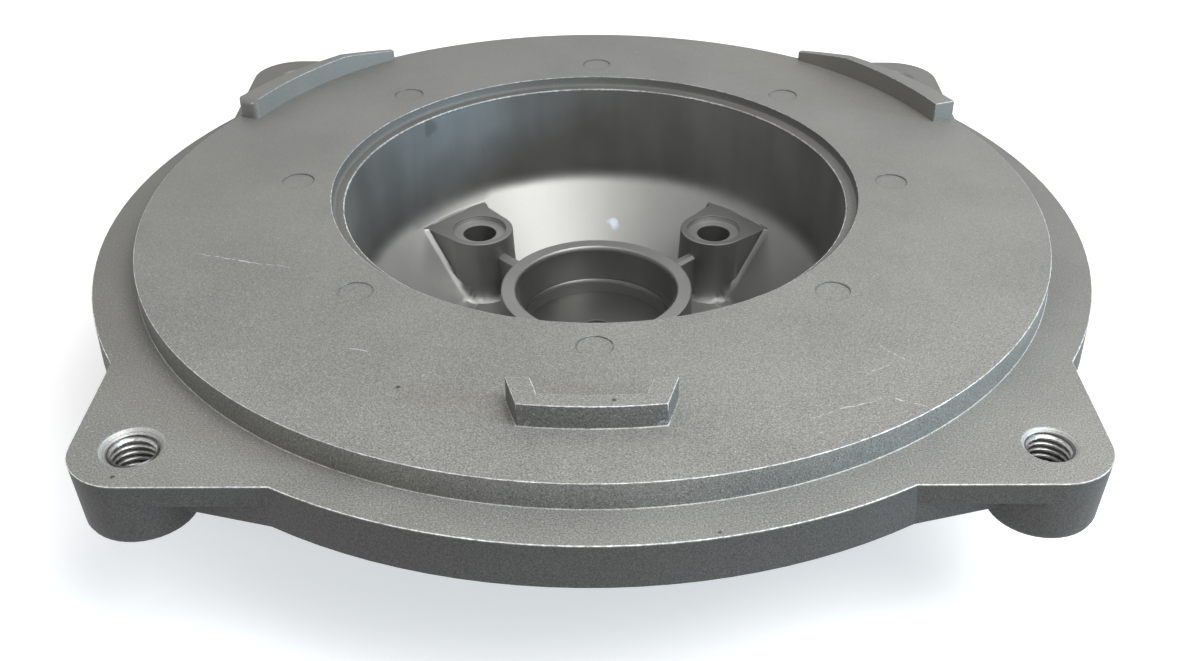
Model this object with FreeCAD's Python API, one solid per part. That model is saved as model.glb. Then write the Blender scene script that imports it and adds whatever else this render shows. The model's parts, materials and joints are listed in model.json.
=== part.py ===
import FreeCAD, Part
import math
import os

# Pump casing cover: one aluminium casting with a round spigot face, four
# tapped lugs, three locating tabs and a deep bowl that carries a bearing seat.
# Frame: origin on the spigot's axis, in the plane where the flange meets its
# housing.  +Z points out of the bowl's mouth, +Y to the side the bowl is set to.
# Lengths are in millimetres and angles in degrees.

# Spigot and flange
spigot_d = 223.0
spigot_h = 6.2
flange_d = 243.6
flange_t = 10.5
spigot_plate_t = 5.72
wall = 5.2

# Lugs at the corners of a square
lug_square = 209.0
lug_pitch = 183.7
lug_plate_t = 5.2
foot_depth = 15.6
foot_draft = 4.5
web_slope = 15.9
thread_d = 10.0
countersink_d = 11.6
countersink_wide_d = 13.2

# Bowl, set off the spigot's axis
bowl_offset = 11.0
mouth_step = 2.65
mouth_ledge = 3.0
side_flare = 1.1
side_above_hub = 1.8
bowl_side_d = 126.0
bowl_side_round = 8.0
floor_z = -45.0
floor_d = 86.4
floor_round = 6.0

# Bearing hub in the bowl
hub_d = 51.5
hub_foot_d = 52.6
hub_depth = 32.0
hub_foot_round = 2.0
seat_d = 42.0
seat_depth = 9.7
seat_mouth_round = 1.2
pocket_d = 38.8
pocket_depth = 3.7
pocket_mouth_round = 0.9
centre_hole_d = 8.5
centre_hole_depth = 5.0

# Bolt bosses round the hub, each tied to it by a low rib
boss_pcd = 96.0
boss_drop = 1.0
boss_d = 19.2
boss_flare = 5.0
boss_draft = 3.0
boss_foot_edge = 1.5
spotface_d = 15.3
spotface_depth = 1.5
bolt_hole_d = 9.5
pad_d = 21.0
tie_w = 3.2
tie_edge = 0.8
tie_drop = 4.6

# Locating tabs on the spigot face
tab_h = 5.4
tab_inside_r = 101.0
tab_draft = 2.3
tab_start_right = 20.9
tab_start_left = 21.4
tab_slope_from = 43.0
tab_end = 52.6
tab_end_h = 2.7
tab_left_round = 1.6
clip_shift = -0.4
clip_outside_r = 105.6
clip_w = 29.9
clip_bar = 4.1
clip_leg_w = 5.0
clip_leg_len = 9.2
clip_splay = 15.5

# Ejector marks, and the ribs of the hollow underside below them
mark_pcd = 152.7
mark_d = 8.0
mark_depth = 0.25
rib_count = 8
rib_w = 5.0
rib_low_z = -9.0
under_draft = 3.0

# A turned round is made of chords this near to its arc, or this share of it if that is more
chord_gap = 0.15
chord_share = 0.3

# Two faces that meet at less than this angle run on smoothly
least_fold = 12.0


def vec(x, y, z=0.0):
    return FreeCAD.Vector(x, y, z)


def tan(degrees):
    return math.tan(math.radians(degrees))


def corner_round(back, here, ahead, radius, as_arc):
    """Edges and two end points of the round between two legs that meet at a corner."""
    to_back = (back - here).normalize()
    to_ahead = (ahead - here).normalize()
    half = to_back.getAngle(to_ahead) / 2
    start = here + to_back * (radius / math.tan(half))
    end = here + to_ahead * (radius / math.tan(half))
    middle = (to_back + to_ahead).normalize()
    centre = here + middle * (radius / math.sin(half))
    if as_arc:
        return [Part.Arc(start, centre - middle * radius, end).toShape()], start, end
    turn = math.pi - 2 * half
    share = max(chord_gap / radius, chord_share)
    chords = math.ceil(turn / (2 * math.acos(1 - min(share, 1.0))))
    axis = (start - centre).cross(end - centre)
    stops = []
    for k in range(chords + 1):
        swing = FreeCAD.Rotation(axis, math.degrees(turn) * k / chords)
        stops.append(centre + swing.multVec(start - centre))
    return [Part.makeLine(a, b) for a, b in zip(stops, stops[1:])], start, end


def profile(points):
    """Closed face in the XZ plane from points given as (radius, height) or (radius, height, round).

    A point with "arc" as its fourth value has a true arc for its round, for faces that a fillet runs along.
    """
    corners = []
    for i, point in enumerate(points):
        here = vec(point[0], 0, point[1])
        if len(point) == 2:
            corners.append(([], here, here))
            continue
        before = vec(points[i - 1][0], 0, points[i - 1][1])
        after = points[(i + 1) % len(points)]
        corners.append(corner_round(before, here, vec(after[0], 0, after[1]), point[2], "arc" in point))
    edges = []
    for i, (round_edges, start, end) in enumerate(corners):
        edges += round_edges
        edges.append(Part.makeLine(end, corners[(i + 1) % len(corners)][1]))
    return Part.Face(Part.Wire(edges))


def turned(points, y=0.0):
    """Solid turned from a profile about the upright axis at (0, y)."""
    solid = profile(points).revolve(vec(0, 0), vec(0, 0, 1), 360)
    solid.translate(vec(0, y))
    return solid


def drum(diameter, z_low, z_high, x=0.0, y=0.0):
    return Part.makeCylinder(diameter / 2, z_high - z_low, vec(x, y, z_low))


def cone(low_d, high_d, z_low, z_high, x=0.0, y=0.0):
    return Part.makeCone(low_d / 2, high_d / 2, z_high - z_low, vec(x, y, z_low))


def swung(shape, angle, y=0.0):
    """Copy of a shape, turned about the upright axis at (0, y)."""
    copy = shape.copy()
    copy.rotate(vec(0, y), vec(0, 0, 1), angle)
    return copy


def upright_prism(corners, z_low, z_high):
    """Prism on a list of (x, y) corners."""
    loop = [vec(x, y, z_low) for x, y in corners]
    return Part.Face(Part.makePolygon(loop + loop[:1])).extrude(vec(0, 0, z_high - z_low))


def tapered_prism(low, high):
    """Solid between two flat loops of points with parallel sides, one above the other."""
    faces = [Part.Face(Part.makePolygon(loop + loop[:1])) for loop in (low, high)]
    count = len(low)
    for i in range(count):
        j = (i + 1) % count
        faces.append(Part.Face(Part.makePolygon([low[i], low[j], high[j], high[i], low[i]])))
    return Part.Solid(Part.Shell(faces))


def fold_at(shape, edge):
    """Angle between the two faces that meet at an edge's middle."""
    faces = shape.ancestorsOfType(edge, Part.Face)
    if len(faces) != 2:
        return 0.0
    point = edge.valueAt((edge.FirstParameter + edge.LastParameter) / 2)
    normals = [face.normalAt(*face.Surface.parameter(point)) for face in faces]
    return math.degrees(normals[0].getAngle(normals[1]))


def folded_edges(shape, wanted):
    """Edges with a real fold that pass a test on their middle point and box."""
    found = []
    for edge in shape.Edges:
        middle = edge.valueAt((edge.FirstParameter + edge.LastParameter) / 2)
        if wanted(middle, edge.BoundBox) and fold_at(shape, edge) > least_fold:
            found.append(edge)
    return found


# Places that follow from the sizes above
half_square = lug_square / 2
half_pitch = lug_pitch / 2
plate_low_side = half_square - lug_plate_t * tan(foot_draft)
lug_places = [(sx * half_pitch, sy * half_pitch) for sx, sy in ((1, 1), (-1, 1), (-1, -1), (1, -1))]
wide_countersink_at = lug_places[2]
hub_top_z = spigot_h - hub_depth
boss_top_z = hub_top_z - boss_drop
boss_x = boss_pcd / 2 * math.cos(math.pi / 4)
boss_places = [(sx * boss_x, bowl_offset + sy * boss_x) for sx, sy in ((1, 1), (-1, 1), (-1, -1), (1, -1))]
lip_d = bowl_side_d + 2 * side_flare
mouth_d = lip_d + 2 * mouth_ledge
bowl_side_z = hub_top_z + side_above_hub
base_z = floor_z - wall
tab_top_z = spigot_h + tab_h


def lug_plate():
    """Drafted square without its corners, which the feet of the lugs fill."""
    loops = []
    for z, side in ((-lug_plate_t, plate_low_side), (0, half_square)):
        quarter = [vec(side, -half_pitch, z), vec(side, half_pitch, z)]
        loops.append([FreeCAD.Rotation(vec(0, 0, 1), 90 * k).multVec(point) for k in range(4) for point in quarter])
    return tapered_prism(*loops)


def flange_plate():
    """Disc with the lugs' plate across it, and the spigot on it."""
    return drum(flange_d, -flange_t, 0).fuse([lug_plate(), drum(spigot_d, -1, spigot_h)])


def lug():
    """Drafted round foot under one corner, with a web that narrows towards it."""
    corner_d = lug_square - lug_pitch
    foot_d = corner_d - 2 * foot_depth * tan(foot_draft)
    foot = cone(foot_d, corner_d, -foot_depth, 0, half_pitch, half_pitch)
    web_x = math.sqrt((flange_d / 2) ** 2 - plate_low_side ** 2)
    web_side = plate_low_side - (half_pitch - web_x) * tan(web_slope)
    inside = half_square - corner_d * 2
    web = upright_prism([(web_x, plate_low_side), (half_pitch, web_side), (half_pitch, half_pitch),
                         (web_side, half_pitch), (plate_low_side, web_x), (inside, inside)],
                        -flange_t, -lug_plate_t)
    return foot.fuse(web)


def underside_hollow():
    """Space within the skirts below the plate, less the ribs."""
    deep = -foot_depth
    skirt_r = flange_d / 2 - wall
    step_r = spigot_d / 2 - wall
    ceiling_z = spigot_h - spigot_plate_t
    shift = (-lug_plate_t - deep) * tan(under_draft)
    space = turned([(0, deep), (skirt_r + shift, deep), (skirt_r, -lug_plate_t),
                    (step_r, -lug_plate_t), (step_r, ceiling_z), (0, ceiling_z)])
    rib = Part.makeBox(spigot_d, rib_w, ceiling_z - rib_low_z, vec(0, bowl_offset - rib_w / 2, rib_low_z))
    return space.cut([swung(rib, 360 / rib_count * k, bowl_offset) for k in range(rib_count)])


def bowl_outside():
    """Bowl's outer form, with round pads under the bolt bosses down to its base."""
    slope = math.atan2(bowl_side_z - floor_z, (bowl_side_d - floor_d) / 2)
    side_z = bowl_side_z - wall * math.tan((math.pi / 2 - slope) / 2)
    base_r = floor_d / 2 + wall * math.tan(slope / 2)
    bowl = turned([(0, spigot_h), (lip_d / 2 + wall, spigot_h),
                   (bowl_side_d / 2 + wall, side_z, bowl_side_round + wall),
                   (base_r, base_z, floor_round), (0, base_z)], bowl_offset)
    return bowl.fuse([drum(pad_d, base_z, boss_top_z, x, y) for x, y in boss_places])


def bowl_inside():
    """Turned space of the bowl: mouth step, side, floor, hub, bearing seat, pocket and centre hole."""
    step_z = spigot_h - mouth_step
    seat_z = hub_top_z - seat_depth
    pocket_z = seat_z - pocket_depth
    hole_z = pocket_z - centre_hole_depth
    above_z = tab_top_z + 10
    return turned([(0, above_z), (mouth_d / 2, above_z), (mouth_d / 2, step_z), (lip_d / 2, step_z),
                   (bowl_side_d / 2, bowl_side_z, bowl_side_round), (floor_d / 2, floor_z, floor_round, "arc"),
                   (hub_foot_d / 2, floor_z, hub_foot_round), (hub_d / 2, hub_top_z),
                   (seat_d / 2, hub_top_z, seat_mouth_round), (seat_d / 2, seat_z),
                   (pocket_d / 2, seat_z, pocket_mouth_round), (pocket_d / 2, pocket_z),
                   (centre_hole_d / 2, pocket_z), (centre_hole_d / 2, hole_z), (0, hole_z)], bowl_offset)


def boss_sides(z):
    """Loop at one height of the boss's flat sides, which leave its round nose and run out along +X."""
    nose_r = boss_d / 2 + (boss_top_z - z) * tan(boss_draft)
    flare = math.radians(boss_flare)
    near_x = -nose_r * math.sin(flare)
    near_y = nose_r * math.cos(flare)
    far_x = (mouth_d - boss_pcd) / 2
    far_y = near_y + (far_x - near_x) * math.tan(flare)
    return [vec(near_x, -near_y, z), vec(far_x, -far_y, z), vec(far_x, far_y, z), vec(near_x, near_y, z)]


def boss():
    """Bolt boss on the +X side of the bowl's axis: round towards the hub, flared out to the wall."""
    low_d = boss_d + 2 * (boss_top_z - base_z) * tan(boss_draft)
    sides = tapered_prism(boss_sides(base_z), boss_sides(boss_top_z))
    solid = cone(low_d, boss_d, base_z, boss_top_z).fuse(sides).removeSplitter()
    solid.translate(vec(boss_pcd / 2, bowl_offset))
    return solid


def tie_rib():
    """Low rib with an eased ridge between the hub and a boss."""
    ridge_z = boss_top_z - tie_drop
    start_x = hub_d / 2 - 1
    rib = Part.makeBox((boss_pcd - boss_d) / 2 + 1 - start_x, tie_w, ridge_z - base_z,
                       vec(start_x, bowl_offset - tie_w / 2, base_z))
    ridges = [e for e in rib.Edges if e.BoundBox.ZMin > ridge_z - 0.01 and e.BoundBox.XLength > 1]
    return rib.makeChamfer(tie_edge, ridges)


def at_boss_foot(point, box):
    """Whether an edge runs along the foot of the nearest boss, and not round its top."""
    x = abs(point.x)
    y = abs(point.y - bowl_offset)
    outward = (x + y) / math.sqrt(2)
    across = abs(x - y) / math.sqrt(2)
    spare = 1.5 * boss_foot_edge
    beside = outward > (boss_pcd - boss_d) / 2 - spare and across < boss_d / 2 + 2 * spare
    return beside and box.ZMin < boss_top_z - boss_foot_edge


def bowl_space():
    """Bowl's inside with the bosses and tie ribs left standing in it."""
    space = bowl_inside().cut([swung(boss(), 45 + 90 * k, bowl_offset) for k in range(4)])
    space = space.removeSplitter()
    space = space.makeChamfer(boss_foot_edge, folded_edges(space, at_boss_foot))
    return space.cut([swung(tie_rib(), 45 + 90 * k, bowl_offset) for k in range(4)])


def bolt_hole(x, y):
    """Clearance hole with its spotface, right through to the pad's face."""
    return drum(spotface_d, boss_top_z - spotface_depth, boss_top_z + 0.01, x, y).fuse(
        drum(bolt_hole_d, base_z - 1, boss_top_z, x, y))


def tapped_hole(x, y):
    """Through hole at the thread's full size, countersunk at its mouth."""
    mouth_d = countersink_wide_d if (x, y) == wide_countersink_at else countersink_d
    sink = cone(thread_d, mouth_d, (thread_d - mouth_d) / 2, 0, x, y)
    return drum(thread_d, -foot_depth, 0, x, y).fuse(sink)


def ejector_marks():
    """Shallow round marks evenly spaced about the bowl, one over each rib."""
    mark = drum(mark_d, spigot_h - mark_depth, spigot_h + 1, mark_pcd / 2, bowl_offset)
    return [swung(mark, 360 / rib_count * k, bowl_offset) for k in range(rib_count)]


def sector(angle_from, angle_to):
    """Upright wedge about the bowl's axis that holds part of the spigot face."""
    reach = spigot_d
    corners = [(0, bowl_offset)]
    for angle in (angle_from, angle_to):
        a = math.radians(angle)
        corners.append((reach * math.cos(a), bowl_offset + reach * math.sin(a)))
    return upright_prism(corners, 0, tab_top_z + 1)


def at_left_tab_start(point, box):
    about = math.degrees(math.atan2(point.y - bowl_offset, point.x))
    return abs(about - tab_start_left) < 1.5 and box.ZMax > spigot_h


def rear_tab(start):
    """Tab on the right: an arc about the bowl's axis, flush with the spigot, its far end sloping down."""
    low_z = spigot_h - 1
    inside_d = 2 * tab_inside_r
    inside_low_d = inside_d - 2 * (tab_h + 1) * tan(tab_draft)
    inside = cone(inside_low_d, inside_d, low_z, tab_top_z, 0, bowl_offset)
    tab = drum(spigot_d, low_z, tab_top_z).cut(inside).common(sector(start, tab_end))
    run = tab_inside_r * math.radians(tab_end - tab_slope_from)
    fall = math.degrees(math.atan2(tab_h - tab_end_h, run))
    above = Part.makeBox(spigot_d / 4, spigot_d / 4, tab_h * 4, vec(-spigot_d / 8, 0, 0))
    above.rotate(vec(0, 0), vec(1, 0, 0), -fall)
    above.translate(vec(tab_inside_r, bowl_offset, tab_top_z))
    return tab.cut(swung(above, tab_slope_from, bowl_offset))


def front_tab():
    """Bar bent to the bowl's circle, with a splayed leg at each end."""
    out_x = clip_w / 2
    out_y = bowl_offset - math.sqrt(clip_outside_r ** 2 - out_x ** 2)
    leg_x = out_x + clip_leg_len * tan(clip_splay)
    leg_y = out_y + clip_leg_len
    inside_r = clip_outside_r - clip_bar
    bar_y = bowl_offset - math.sqrt(inside_r ** 2 - (out_x - clip_leg_w) ** 2)
    in_x = leg_x - clip_leg_w - (leg_y - bar_y) * tan(clip_splay)
    in_y = bowl_offset - math.sqrt(inside_r ** 2 - in_x ** 2)
    low_z = spigot_h - 1
    right_leg = [vec(out_x, out_y, low_z), vec(leg_x, leg_y, low_z),
                 vec(leg_x - clip_leg_w, leg_y, low_z), vec(in_x, in_y, low_z)]
    left_leg = [vec(-point.x, point.y, low_z) for point in reversed(right_leg)]
    front = Part.Arc(left_leg[-1], vec(0, bowl_offset - clip_outside_r, low_z), right_leg[0]).toShape()
    back = Part.Arc(right_leg[-1], vec(0, bowl_offset - inside_r, low_z), left_leg[0]).toShape()
    legs = Part.makePolygon(right_leg).Edges, Part.makePolygon(left_leg).Edges
    outline = Part.Wire([front] + legs[0] + [back] + legs[1])
    tab = Part.Face(outline).extrude(vec(0, 0, tab_h + 1))
    tab.translate(vec(clip_shift, 0))
    return tab


def cover_casting():
    """The whole casting: outside forms, then the spaces cut from it, then the tabs."""
    outside = flange_plate().fuse([swung(lug(), 90 * k) for k in range(4)])
    body = outside.cut(underside_hollow()).fuse(bowl_outside()).cut(bowl_space())
    holes = [bolt_hole(x, y) for x, y in boss_places] + [tapped_hole(x, y) for x, y in lug_places]
    body = body.cut(holes + ejector_marks())
    left_tab = rear_tab(tab_start_left)
    left_tab = left_tab.makeFillet(tab_left_round, folded_edges(left_tab, at_left_tab_start))
    left_tab = left_tab.mirror(vec(0, 0), vec(1, 0, 0))
    return body.fuse([rear_tab(tab_start_right), left_tab, front_tab()]).removeSplitter()


os.makedirs("parts", exist_ok=True)
casting = cover_casting()
print("valid", casting.isValid(), "solids", len(casting.Solids), "faces", len(casting.Faces))
casting.Solids[0].exportStep("parts/cover_casting.step")
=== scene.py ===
import json
import math

import bpy
import numpy as np
from bpy.props import FloatProperty, FloatVectorProperty, IntProperty, PointerProperty
from bpy.types import Operator, Panel, PropertyGroup
from mathutils import Euler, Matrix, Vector


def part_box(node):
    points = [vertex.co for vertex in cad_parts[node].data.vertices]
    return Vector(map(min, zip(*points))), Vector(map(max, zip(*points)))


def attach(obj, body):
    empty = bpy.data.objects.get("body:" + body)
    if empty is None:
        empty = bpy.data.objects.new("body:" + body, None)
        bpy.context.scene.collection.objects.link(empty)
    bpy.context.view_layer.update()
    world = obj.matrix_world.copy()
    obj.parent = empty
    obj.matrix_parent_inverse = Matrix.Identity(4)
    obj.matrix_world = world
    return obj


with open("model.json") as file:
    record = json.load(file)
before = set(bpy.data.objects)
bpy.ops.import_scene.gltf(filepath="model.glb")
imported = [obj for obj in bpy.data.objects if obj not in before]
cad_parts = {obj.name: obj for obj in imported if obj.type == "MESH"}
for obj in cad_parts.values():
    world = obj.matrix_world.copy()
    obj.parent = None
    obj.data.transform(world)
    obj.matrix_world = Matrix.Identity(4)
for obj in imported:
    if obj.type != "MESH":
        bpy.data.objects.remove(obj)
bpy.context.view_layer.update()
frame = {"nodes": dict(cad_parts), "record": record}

bl_info = {
    "name": "Pump casing cover",
    "version": (1, 0, 0),
    "blender": (4, 5, 0),
    "location": "3D View > Sidebar > Casing cover",
    "description": "Dresses a cast pump casing cover: blasted metal, worn edges, cut threads and a studio",
    "category": "Object",
}

# Places and sizes that the frame gives, in metres.
mounts = {mount["name"]: mount for mount in frame["record"]["mounts"]}
spigot_r = mounts["spigot"]["dims"]["r_mm"] / 1000
lug_reach = mounts["lug_holes"]["dims"]["spacing_x_mm"] / 2000
lug_hole_r = mounts["lug_holes"]["dims"]["hole_r_mm"] / 1000
boss_reach = mounts["boss_bolts"]["dims"]["pcd_mm"] / 2000 * math.cos(math.pi / 4)
bowl_y = mounts["bearing_seat"]["pos_m"][1]
seat_r = mounts["bearing_seat"]["dims"]["r_mm"] / 1000
bolt_hole_r = mounts["boss_bolts"]["dims"]["hole_r_mm"] / 1000
spot_floor_z = mounts["boss_bolts"]["pos_m"][2]
base_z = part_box("cover_casting")[0].z

# The casting's other places, in metres, as on its drawing.
spigot_h = 0.0062
lug_plate_t = 0.0052
lug_depth = 0.0156
countersink_h = 0.0008
countersink_r = 0.0068
wall = 0.0052
mouth_r = 0.0671
mouth_step_z = 0.00355
lip_r = 0.0641
bowl_side_r = 0.063
bowl_side_z = -0.024
fold_top = (0.06303, -0.02117)
fold_foot = (0.06102, -0.026)
floor_r = 0.0432
floor_z = -0.045
hub_r = 0.02575
hub_top_z = -0.0258
boss_top_z = -0.0268
spotface_r = 0.00765
mark_reach = 0.07635
mark_r = 0.004
left_tab_start = (-0.0940, 0.0479, 0.0)
front_tab_y = -0.08
cone_rise = 0.686

# How far single edges are rounded, in metres.
mouth_round = 0.0008
lip_round = 0.0005
hub_round = 0.0004
spotface_round = 0.00015
mark_round = 0.00006

# How near an edge lies to the circle or level it belongs to, in metres.
ring_reach = 0.001
level_reach = 0.0003

# Marks of handling that the photograph shows: scratches from point to point on the spigot face, and
# spots with how far they reach.
scratch_runs = (
    ((0.0566, -0.0762), (0.0623, -0.0719)),
    ((0.0428, -0.0912), (0.0598, -0.0837)),
    ((0.0598, -0.0837), (0.0670, -0.0878)),
    ((0.0607, -0.0644), (0.0662, -0.0716)),
    ((-0.0940, -0.0260), (-0.0700, -0.0330)),
    ((-0.0520, -0.0660), (-0.0480, -0.0675)),
)
pit_places = (
    ((0.0039, -0.0924, 0.0116), 0.0006),
    ((-0.0931, -0.1013, 0.0), 0.0006),
    ((0.0234, -0.1181, 0.0), 0.0006),
    ((-0.0399, -0.0802, 0.0062), 0.0006),
)
smudge_place = (-0.0473, 0.0541, 0.0007)
smudge_reach = 0.0032
# A painted highlight on the bowl's cone: a small bluish-white glint painted into the colour, with its
# place, reach and colour.
glint_place = (0.0051, 0.0633, -0.0348)
glint_reach = 0.0021
glint_colour = (0.6, 0.75, 0.95)

# How bright the floor and the room look, besides the light that falls on them.
floor_glow = 0.45
room_light = 0.55


class CoverSettings(PropertyGroup):
    edge_round: FloatProperty(
        name="Edge round",
        description="How far most sharp edges of the casting are rounded",
        default=0.00028,
        unit="LENGTH",
    )
    widest_round: FloatProperty(
        name="Widest round",
        description="How far the softest edges of the casting are rounded",
        default=0.0012,
        unit="LENGTH",
    )
    metal_colour: FloatVectorProperty(
        name="Metal",
        description="Colour of the blasted top faces",
        default=(0.229, 0.227, 0.21),
        subtype="COLOR",
        min=0.0,
        max=1.0,
    )
    bowl_colour: FloatVectorProperty(
        name="Bowl",
        description="Colour of the smoother metal in the bowl",
        default=(0.3, 0.3, 0.288),
        subtype="COLOR",
        min=0.0,
        max=1.0,
    )
    # Partly the as-cast skin's own darker colour and partly painted shade on the sides and underside.
    skin_and_shade_colour: FloatVectorProperty(
        name="Casting skin",
        description="Colour of the darker sides that were left as cast",
        default=(0.066, 0.066, 0.062),
        subtype="COLOR",
        min=0.0,
        max=1.0,
    )
    # Also the colour of the painted glints of the grain and of the painted highlights.
    worn_colour: FloatVectorProperty(
        name="Worn metal",
        description="Colour of bare metal on edges, scratches and cut faces",
        default=(0.82, 0.82, 0.8),
        subtype="COLOR",
        min=0.0,
        max=1.0,
    )
    grain_size: FloatProperty(
        name="Grain size",
        description="Size of the dimples that blasting leaves",
        default=0.00036,
        unit="LENGTH",
    )
    grain_contrast: FloatProperty(
        name="Grain contrast",
        description="How much lighter and darker the dimples are than the metal round them",
        default=2.4,
        min=0.0,
    )
    edge_wear: FloatProperty(
        name="Edge wear",
        description="How bright the worn edges are",
        default=0.9,
        min=0.0,
        max=1.0,
    )
    thread_pitch: FloatProperty(
        name="Thread pitch",
        description="Distance between two turns of the lugs' threads",
        default=0.0015,
        unit="LENGTH",
    )
    thread_depth: FloatProperty(
        name="Thread depth",
        description="Height of the threads' ridges",
        default=0.0008,
        unit="LENGTH",
    )
    thread_sides: IntProperty(
        name="Thread sides",
        description="Faces round one turn of a thread",
        default=60,
        min=12,
    )
    floor_colour: FloatVectorProperty(
        name="Floor",
        description="Colour of the studio floor",
        default=(0.82, 0.82, 0.82),
        subtype="COLOR",
        min=0.0,
        max=1.0,
    )


def settings():
    return bpy.context.scene.cover_settings


# Building shader and geometry trees


def plug(tree, value, socket):
    """Links an output to an input, or sets the input to a plain value."""
    if isinstance(value, bpy.types.NodeSocket):
        tree.links.new(value, socket)
    else:
        socket.default_value = value


def node(tree, kind, inputs=None, **choices):
    """Adds a node, sets its choices, and fills its inputs by name or number."""
    made = tree.nodes.new(kind)
    for name, value in choices.items():
        setattr(made, name, value)
    for name, value in (inputs or {}).items():
        plug(tree, value, made.inputs[name])
    return made


def maths(tree, operation, *values, clamp=False):
    made = node(tree, "ShaderNodeMath", dict(enumerate(values)), operation=operation, use_clamp=clamp)
    return made.outputs[0]


def product(tree, *values):
    """All the values multiplied together."""
    found = values[0]
    for value in values[1:]:
        found = maths(tree, "MULTIPLY", found, value)
    return found


def inverse(tree, mask):
    """1 where a mask is 0, and 0 where it is 1."""
    return maths(tree, "SUBTRACT", 1.0, mask)


def below(tree, value, limit):
    """1 where a value is less than a limit."""
    return maths(tree, "LESS_THAN", value, limit)


def near(tree, value, middle, reach):
    """1 where a value is within reach of a middle."""
    return below(tree, maths(tree, "ABSOLUTE", maths(tree, "SUBTRACT", value, middle)), reach)


def vectors(tree, operation, *values):
    made = node(tree, "ShaderNodeVectorMath", dict(enumerate(values)), operation=operation)
    single = operation in {"LENGTH", "DISTANCE", "DOT_PRODUCT"}
    return made.outputs["Value" if single else "Vector"]


def scaled(tree, vector, factor):
    """A vector made longer by a factor."""
    return node(tree, "ShaderNodeVectorMath", {0: vector, "Scale": factor}, operation="SCALE").outputs[0]


def split(tree, vector):
    """The three parts of a vector."""
    return node(tree, "ShaderNodeSeparateXYZ", {0: vector}).outputs


def join(tree, x=0.0, y=0.0, z=0.0):
    """A vector from its parts."""
    return node(tree, "ShaderNodeCombineXYZ", {0: x, 1: y, 2: z}).outputs[0]


def fade(tree, value, start, end, low=0.0, high=1.0):
    """Smooth step from low at start to high at end."""
    made = node(
        tree,
        "ShaderNodeMapRange",
        {"Value": value, "From Min": start, "From Max": end, "To Min": low, "To Max": high},
        interpolation_type="SMOOTHSTEP",
    )
    return made.outputs["Result"]


def opaque(colour, share=1.0):
    """A colour with its alpha, made darker by a share."""
    return (*(share * part for part in colour), 1.0)


def tinted(tree, colour, factor):
    """A colour made lighter or darker by a factor."""
    return vectors(tree, "MULTIPLY", colour, join(tree, factor, factor, factor))


def blend(tree, factor, first, second):
    """Colour that goes from the first to the second as the factor goes from 0 to 1."""
    made = node(tree, "ShaderNodeMix", data_type="RGBA")
    for kind, value in (("Factor_Float", factor), ("A_Color", first), ("B_Color", second)):
        socket = next(item for item in made.inputs if item.identifier == kind)
        plug(tree, value, socket)
    return next(item for item in made.outputs if item.identifier == "Result_Color")


def noise(tree, place, size, detail=2.0, rough=0.5):
    """Noise whose lumps are about half of one size across."""
    made = node(
        tree,
        "ShaderNodeTexNoise",
        {"Vector": place, "Scale": 1.0, "Detail": detail, "Roughness": rough},
    )
    if isinstance(size, bpy.types.NodeSocket):
        plug(tree, maths(tree, "DIVIDE", 1.0, size), made.inputs["Scale"])
    else:
        made.inputs["Scale"].default_value = 1.0 / size
    return made.outputs["Fac"]


def highest(tree, masks):
    """The strongest of several masks."""
    found = 0.0
    for mask in masks:
        found = maths(tree, "MAXIMUM", found, mask)
    return found


def group_tree(name, inputs, outputs):
    """Empty shader group with named inputs and outputs; inputs are (name, kind, default)."""
    tree = bpy.data.node_groups.new(name, "ShaderNodeTree")
    for label, kind, default in inputs:
        socket = tree.interface.new_socket(label, in_out="INPUT", socket_type=kind)
        if default is not None:
            socket.default_value = default
    for label, kind in outputs:
        tree.interface.new_socket(label, in_out="OUTPUT", socket_type=kind)
    source = tree.nodes.new("NodeGroupInput")
    sink = tree.nodes.new("NodeGroupOutput")
    return tree, source.outputs, sink.inputs


def place_group(tree, name, values):
    """Puts a shader group into a tree with its own values."""
    made = tree.nodes.new("ShaderNodeGroup")
    made.node_tree = bpy.data.node_groups[name]
    made.label = name
    for label, value in values.items():
        plug(tree, value, made.inputs[label])
    return made.outputs


# Distances on the casting


def axis_distance(tree, place, centre_y):
    """Distance from the upright axis at (0, centre_y)."""
    parts = split(tree, place)
    return vectors(tree, "LENGTH", join(tree, parts[0], maths(tree, "SUBTRACT", parts[1], centre_y)))


def corner_distance(tree, place, centre_y, reach):
    """Distance from the nearest of four upright axes at the corners of a square about (0, centre_y)."""
    parts = split(tree, place)
    across = maths(tree, "SUBTRACT", maths(tree, "ABSOLUTE", parts[0]), reach)
    from_centre = maths(tree, "ABSOLUTE", maths(tree, "SUBTRACT", parts[1], centre_y))
    return vectors(tree, "LENGTH", join(tree, across, maths(tree, "SUBTRACT", from_centre, reach)))


def ring_distance(tree, place, centre_y, radius, height):
    """Distance from a level circle about the axis at (0, centre_y)."""
    outward = maths(tree, "SUBTRACT", axis_distance(tree, place, centre_y), radius)
    upward = maths(tree, "SUBTRACT", split(tree, place)[2], height)
    return vectors(tree, "LENGTH", join(tree, outward, upward))


# Shared effects


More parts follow.
